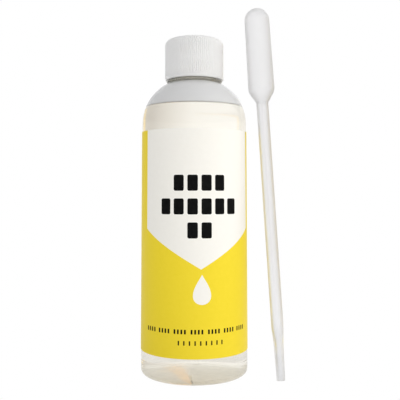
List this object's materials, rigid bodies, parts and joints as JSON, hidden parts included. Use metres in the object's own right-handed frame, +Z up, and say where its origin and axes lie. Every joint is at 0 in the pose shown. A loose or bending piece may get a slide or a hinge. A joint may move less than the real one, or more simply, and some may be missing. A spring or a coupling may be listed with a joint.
{
  "type": "bottle of cutting oil with transfer pipette",
  "caption": "Clear round plastic bottle of pale oil with a wrap-around label and a white ribbed screw cap, standing beside a one-piece translucent transfer pipette.",
  "frame": {"origin": "centre of the bottle's resting ring, on the surface it stands on", "axes": "+Z up along the bottle's axis; -Y is the label's front; +X points towards the pipette"},
  "size_m": [0.0537, 0.0408, 0.1394],
  "materials": {
    "clear_pet": "clear, glossy blown PET",
    "oil": "clear pale straw-coloured oil",
    "label_film": "printed film, satin gloss",
    "white_cap": "white moulded polypropylene, fine ribs",
    "liner_foam": "white foamed polyethylene",
    "pipette_plastic": "translucent natural low-density polyethylene"
  },
  "bodies": {
    "bottle": {"bottle": "clear_pet", "oil": "oil", "label": "label_film"},
    "liner": {"cap_liner": "liner_foam"},
    "cap": {"cap": "white_cap"},
    "pipette": {"pipette": "pipette_plastic"}
  },
  "joints": [
    {"name": "cap_lift", "type": "slide", "parent": "bottle", "child": "liner", "axis": [0, 0, 1], "range_m": [0, 0.00477]},
    {"name": "cap_turn", "type": "hinge", "parent": "liner", "child": "cap", "pos_m": [0, 0, 0.112], "axis": [0, 0, 1], "range_deg": [0, 540]},
    {"name": "pipette_lift", "type": "slide", "parent": "bottle", "child": "pipette", "axis": [0, 0, 1], "range_m": [0, 0.15]}
  ],
  "couplings": [
    {"joint": "cap_lift", "follows": "cap_turn", "m_per_rad": 0.00050532}
  ]
}
